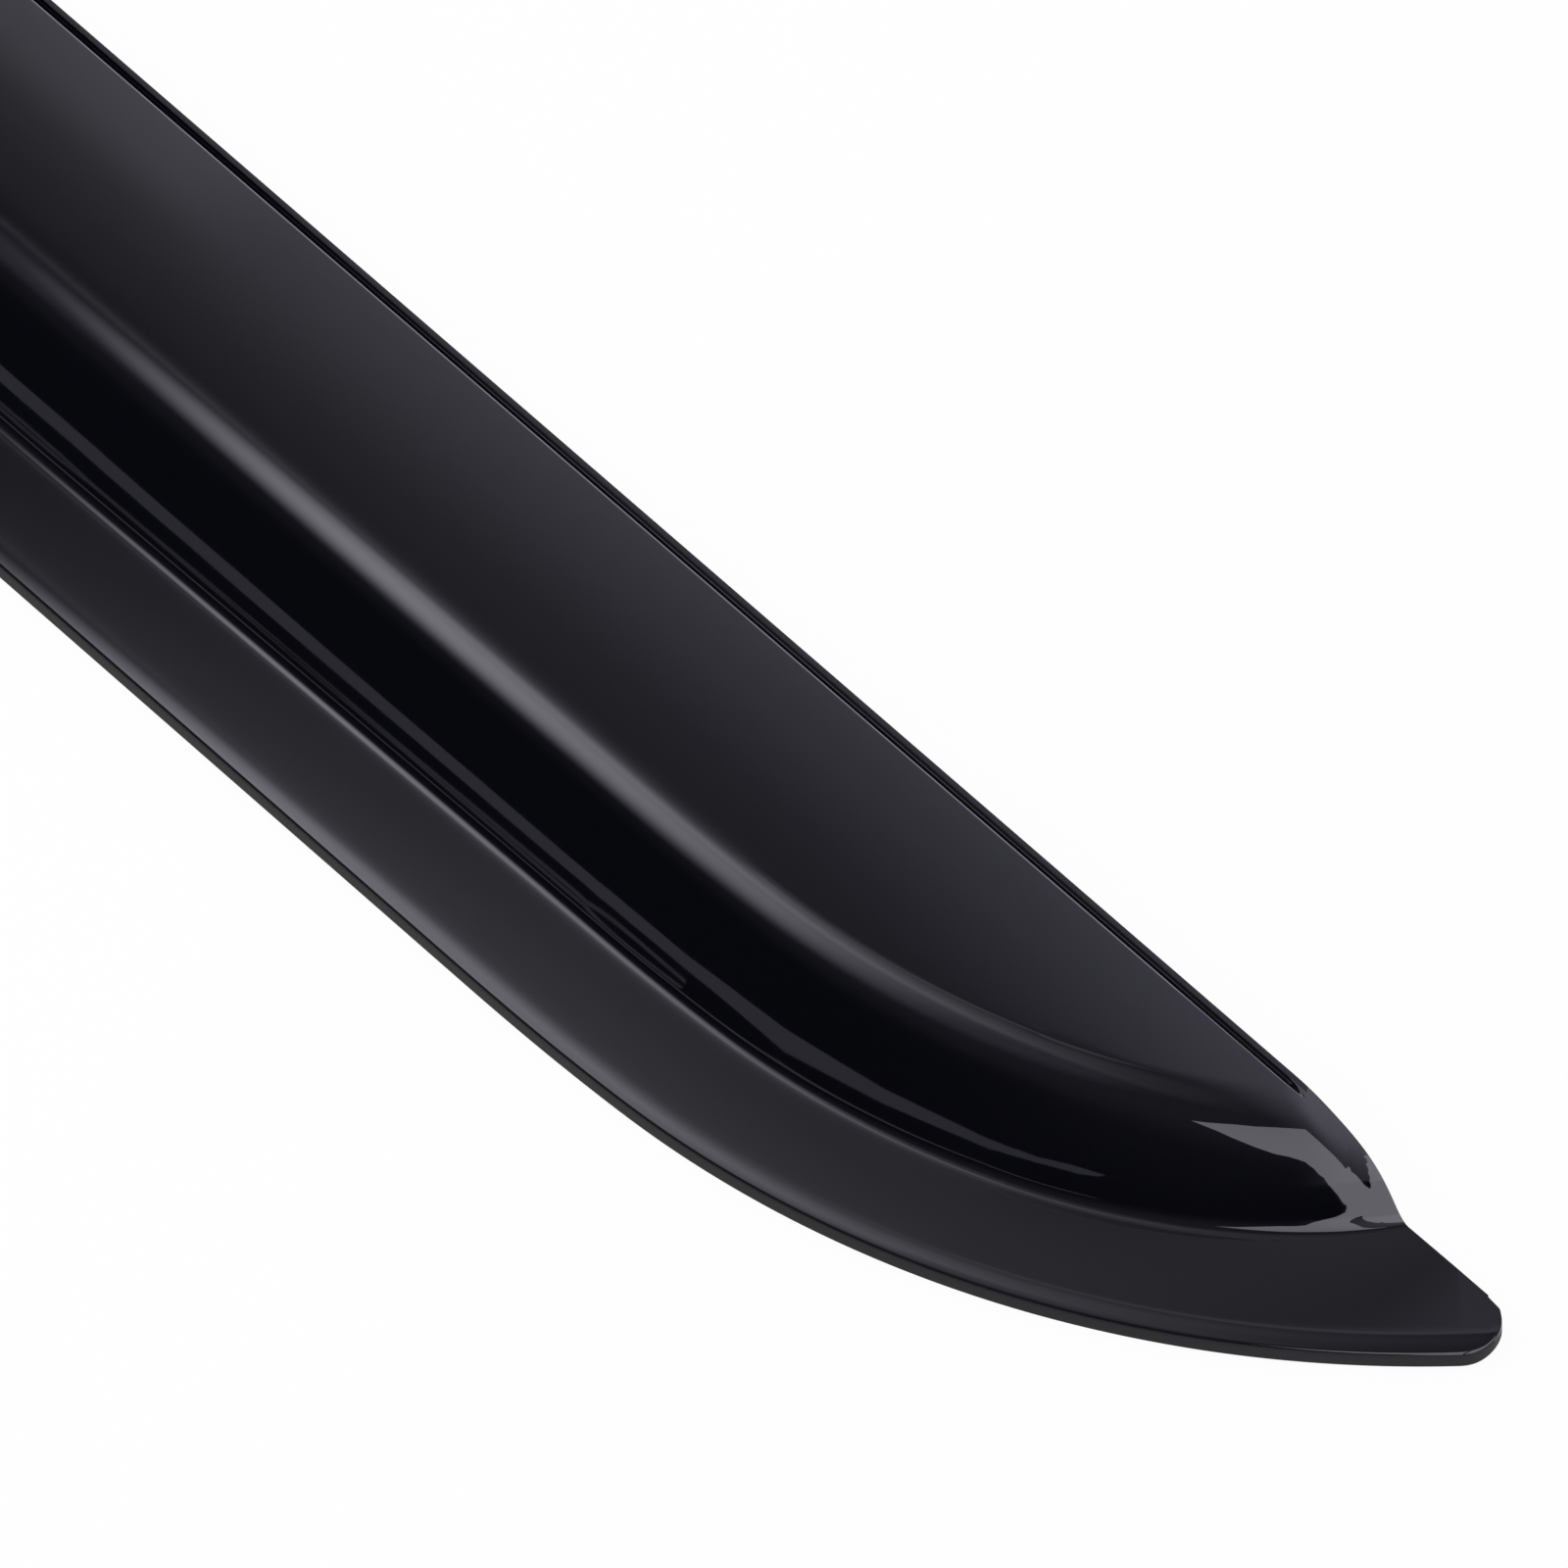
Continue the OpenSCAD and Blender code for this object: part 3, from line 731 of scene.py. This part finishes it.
class DEFLECTOR_OT_stage(bpy.types.Operator):
    """Set up the pale floor, the soft lights and the camera"""
    bl_idname = "deflector.stage"
    bl_label = "Studio"

    def execute(self, context):
        s = context.scene.deflector_studio
        # floor
        bpy.ops.object.select_all(action="DESELECT")
        bpy.ops.mesh.primitive_plane_add(size=40.0, location=(0, 0, -0.05 * MM))
        floor = bpy.context.object
        floor.name = "studio_floor"
        mat, t = new_material("white studio floor")
        matt = node(t, "ShaderNodeBsdfDiffuse", (-300, 0), in_Color=linear("#F7F7F7"))
        white = node(t, "ShaderNodeEmission", (-300, -150), in_Strength=1.0)
        mix = node(t, "ShaderNodeMixShader", (0, 0),
                   [(0, white_to_eye(t, (-900, 300), 0.95)), (1, matt.outputs[0]),
                    (2, white.outputs[0])])
        node(t, "ShaderNodeOutputMaterial", (250, 0), [("Surface", mix.outputs[0])])
        floor.data.materials.append(mat)

        # world: white to the eye, a plain pale room for the object's own colours
        world = bpy.data.worlds.new("pale room")
        context.scene.world = world
        world.use_nodes = True
        t = world.node_tree
        t.nodes.clear()
        room = node(t, "ShaderNodeMapRange", (0, 0),
                    [("Value", white_to_eye(t, (-900, 300), 1.0))],
                    in_To_Min=s.room, in_To_Max=1.0)
        back = node(t, "ShaderNodeBackground", (250, 0),
                    [("Strength", room.outputs["Result"])], in_Color=(1, 1, 1, 1))
        node(t, "ShaderNodeOutputWorld", (500, 0), [("Surface", back.outputs[0])])

        # glows: high before the wall, low behind for the groove, two small ones high up,
        # and the wide light beyond the tip
        canopy("dark_canopy", 12.0, 0.04, (0.2, 0.86, 0.17),
               ((0.15, -90, ((246, 50, 8, 50),)),
                (3.0, 8, ((121, 21, 7, 15),)),
                (0.59, 0, ((131.7, 54.4, 1.2, 4.7),)),
                (0.3, 0, ((230.4, 63.9, 13.9, 27.1),)),
                (1.6, 22, ((46, -10, 80, 93.5), (110, 45, 20, 150)))))
        soft_card("overhead_softbox", 199.3, 56.8, 0.81, 23.8,
                  ((33.8, (0.066, -0.365, 0.766, 1.074), (0.149, -1.597, 0.114, 2.301)),
                   (8.11, (0.237, -1.015, 0.21, 1.868), (0.278, -0.613, 0.299, 1.759)),
                   (0.75, (0.558, 0.519, 0.382, 0.407), (0.092, 0.035, 0.242, 0.253))),
                  diffuse=True)
        # beside the tip: a softbox with a gap that narrows downward
        soft_card("side_softbox", 348.2, 40.7, 1.17, 0.0, (), gradient=(-0.5, 0.5, 3.11, 2.47),
                  corners=((0.30, -1.2), (0.314, -0.617), (0.327, -0.541), (0.342, -0.462),
                           (0.344, -0.376), (0.332, -0.296), (0.318, -0.235),
                           (0.339, -0.185), (0.376, -0.169), (0.399, -0.106),
                           (0.408, -0.025), (0.405, 0.07), (0.417, 0.168), (0.352, 0.19),
                           (0.278, 0.227), (0.205, 0.267), (0.123, 0.303), (0.027, 0.364),
                           (-0.056, 0.416), (-0.112, 0.447), (-0.022, 0.272),
                           (0.049, 0.104), (0.103, -0.051), (0.164, -0.217),
                           (0.210, -0.321), (0.234, -0.434), (0.236, -0.506),
                           (0.226, -0.558), (0.208, -0.476), (0.159, -0.338),
                           (0.069, -0.148), (-0.042, 0.042), (-0.134, 0.176),
                           (-0.351, 0.347), (-1.14, 0.35), (-1.14, -1.2)))
        # behind the tail: a fringe of light on the face, and a wide soft one over it
        soft_card("rear_softbox", 127, 38, 1.5, 26.6,
                  ((0.27, (-1.5, -0.007, 0.1, 0.036), (-0.4, 0.009, 0.06, 0.069)),
                   (0.42, (-0.4, 0.0, 0.1, 0.25), (-0.3, -0.05, 0.1, 0.3))))
        # two slats low in front of the wall
        strip_card("wide_slat", -0.12,
                   ((-60, 39.2), (-36.9, 38.9), (-28.7, 38.7), (-20.3, 38.4), (-12, 37.8),
                    (-3.9, 37), (4, 36.2), (11.9, 35.4), (27.6, 33.9), (51.1, 31.5), (66.7, 30),
                    (90, 27.8), (113.1, 25.5), (120.9, 24.9), (129.5, 25.1), (139.8, 25.8),
                    (150, 26.4), (156.4, 27), (163.2, 27.7), (171.6, 28.6), (181.2, 29.8),
                    (190.7, 30.9), (208, 33.6), (233.1, 37.4), (249.2, 40.6), (273.9, 45.6),
                    (280.5, 47.3), (287.9, 48.2), (297.2, 48.7), (307.6, 50.5), (317.4, 52.9),
                    (326.9, 55), (331, 56), (327.3, 53.7), (318.3, 50.4), (308.6, 48.1),
                    (298.4, 46.7), (289.1, 46.2), (281.5, 45.6), (274.8, 44.1), (251, 38.7),
                    (235.3, 35.3), (211.1, 30.9), (194.7, 28), (185.3, 27.1), (175.6, 26.2),
                    (166.6, 25.4), (159.2, 24.9), (152.4, 24.4), (142.1, 23.8), (132, 23.1),
                    (123.1, 22.8), (115.4, 23.4), (92.3, 25.6), (69.1, 27.8), (53.7, 29.2),
                    (30.3, 31.4), (14.6, 33), (6.8, 33.7), (-1.1, 34.5), (-9.1, 35.2),
                    (-17.4, 35.9), (-25.9, 36.2), (-34.1, 36.4), (-58, 36.7)),
                   0.56)
        strip_card("narrow_slat", -0.12,
                   ((-60, 34.4), (-28.5, 34), (-17.1, 33.6), (19.9, 30.5), (45.8, 28.2),
                    (71.5, 25.9), (97, 23.7), (122.3, 21.4), (153.9, 23.2), (154.6, 22.8),
                    (122.8, 20.9), (97.7, 23.2), (72.1, 25.5), (46.3, 28), (20.2, 30.2),
                    (-16.4, 33.2), (-27.9, 33.6), (-59, 34)),
                   0.45)

        # camera, from in front of the flange side and high up, through a long lens
        cam = bpy.data.cameras.new("camera")
        cam.sensor_width = 36.0
        cam.lens = 942.84
        cam.clip_start = 0.1
        cam.clip_end = 100.0
        eye = bpy.data.objects.new("camera", cam)
        context.scene.collection.objects.link(eye)
        right = Vector((0.66527, 0.74660, 0.0)).normalized()
        behind = Vector((0.47411, -0.42246, 0.77250)).normalized()
        up = behind.cross(right).normalized()
        eye.matrix_world = Matrix.Translation((3.5317, -2.9615, 5.4686)) \
            @ Matrix((right, up, behind)).transposed().to_4x4()
        context.scene.camera = eye
        context.scene.view_settings.view_transform = "Standard"
        return {"FINISHED"}


class DEFLECTOR_PT_panel(bpy.types.Panel):
    bl_idname = "DEFLECTOR_PT_panel"
    bl_label = "Rain deflector"
    bl_space_type = "VIEW_3D"
    bl_region_type = "UI"
    bl_category = "Deflector"

    def draw(self, context):
        for group, operators in PANEL:
            box = self.layout.box()
            settings = getattr(context.scene, group)
            for key in settings.__annotations__:
                box.prop(settings, key)
            for op in operators:
                box.operator(op.bl_idname)


GROUPS = {"deflector_shell": DEFLECTOR_PG_shell, "deflector_tape": DEFLECTOR_PG_tape,
          "deflector_studio": DEFLECTOR_PG_studio}
OPERATORS = (DEFLECTOR_OT_shell, DEFLECTOR_OT_tape, DEFLECTOR_OT_film, DEFLECTOR_OT_stage)
PANEL = (("deflector_shell", (DEFLECTOR_OT_shell,)),
         ("deflector_tape", (DEFLECTOR_OT_tape, DEFLECTOR_OT_film)),
         ("deflector_studio", (DEFLECTOR_OT_stage,)))


def register():
    for cls in (*GROUPS.values(), *OPERATORS, DEFLECTOR_PT_panel):
        bpy.utils.register_class(cls)
    for name, cls in GROUPS.items():
        setattr(bpy.types.Scene, name, PointerProperty(type=cls))


def unregister():
    for name in GROUPS:
        delattr(bpy.types.Scene, name)
    for cls in reversed((*GROUPS.values(), *OPERATORS, DEFLECTOR_PT_panel)):
        bpy.utils.unregister_class(cls)


def main():
    register()
    bpy.ops.deflector.shell()
    bpy.ops.deflector.tape()
    bpy.ops.deflector.film()
    bpy.ops.deflector.stage()


if __name__ == "__main__":
    main()
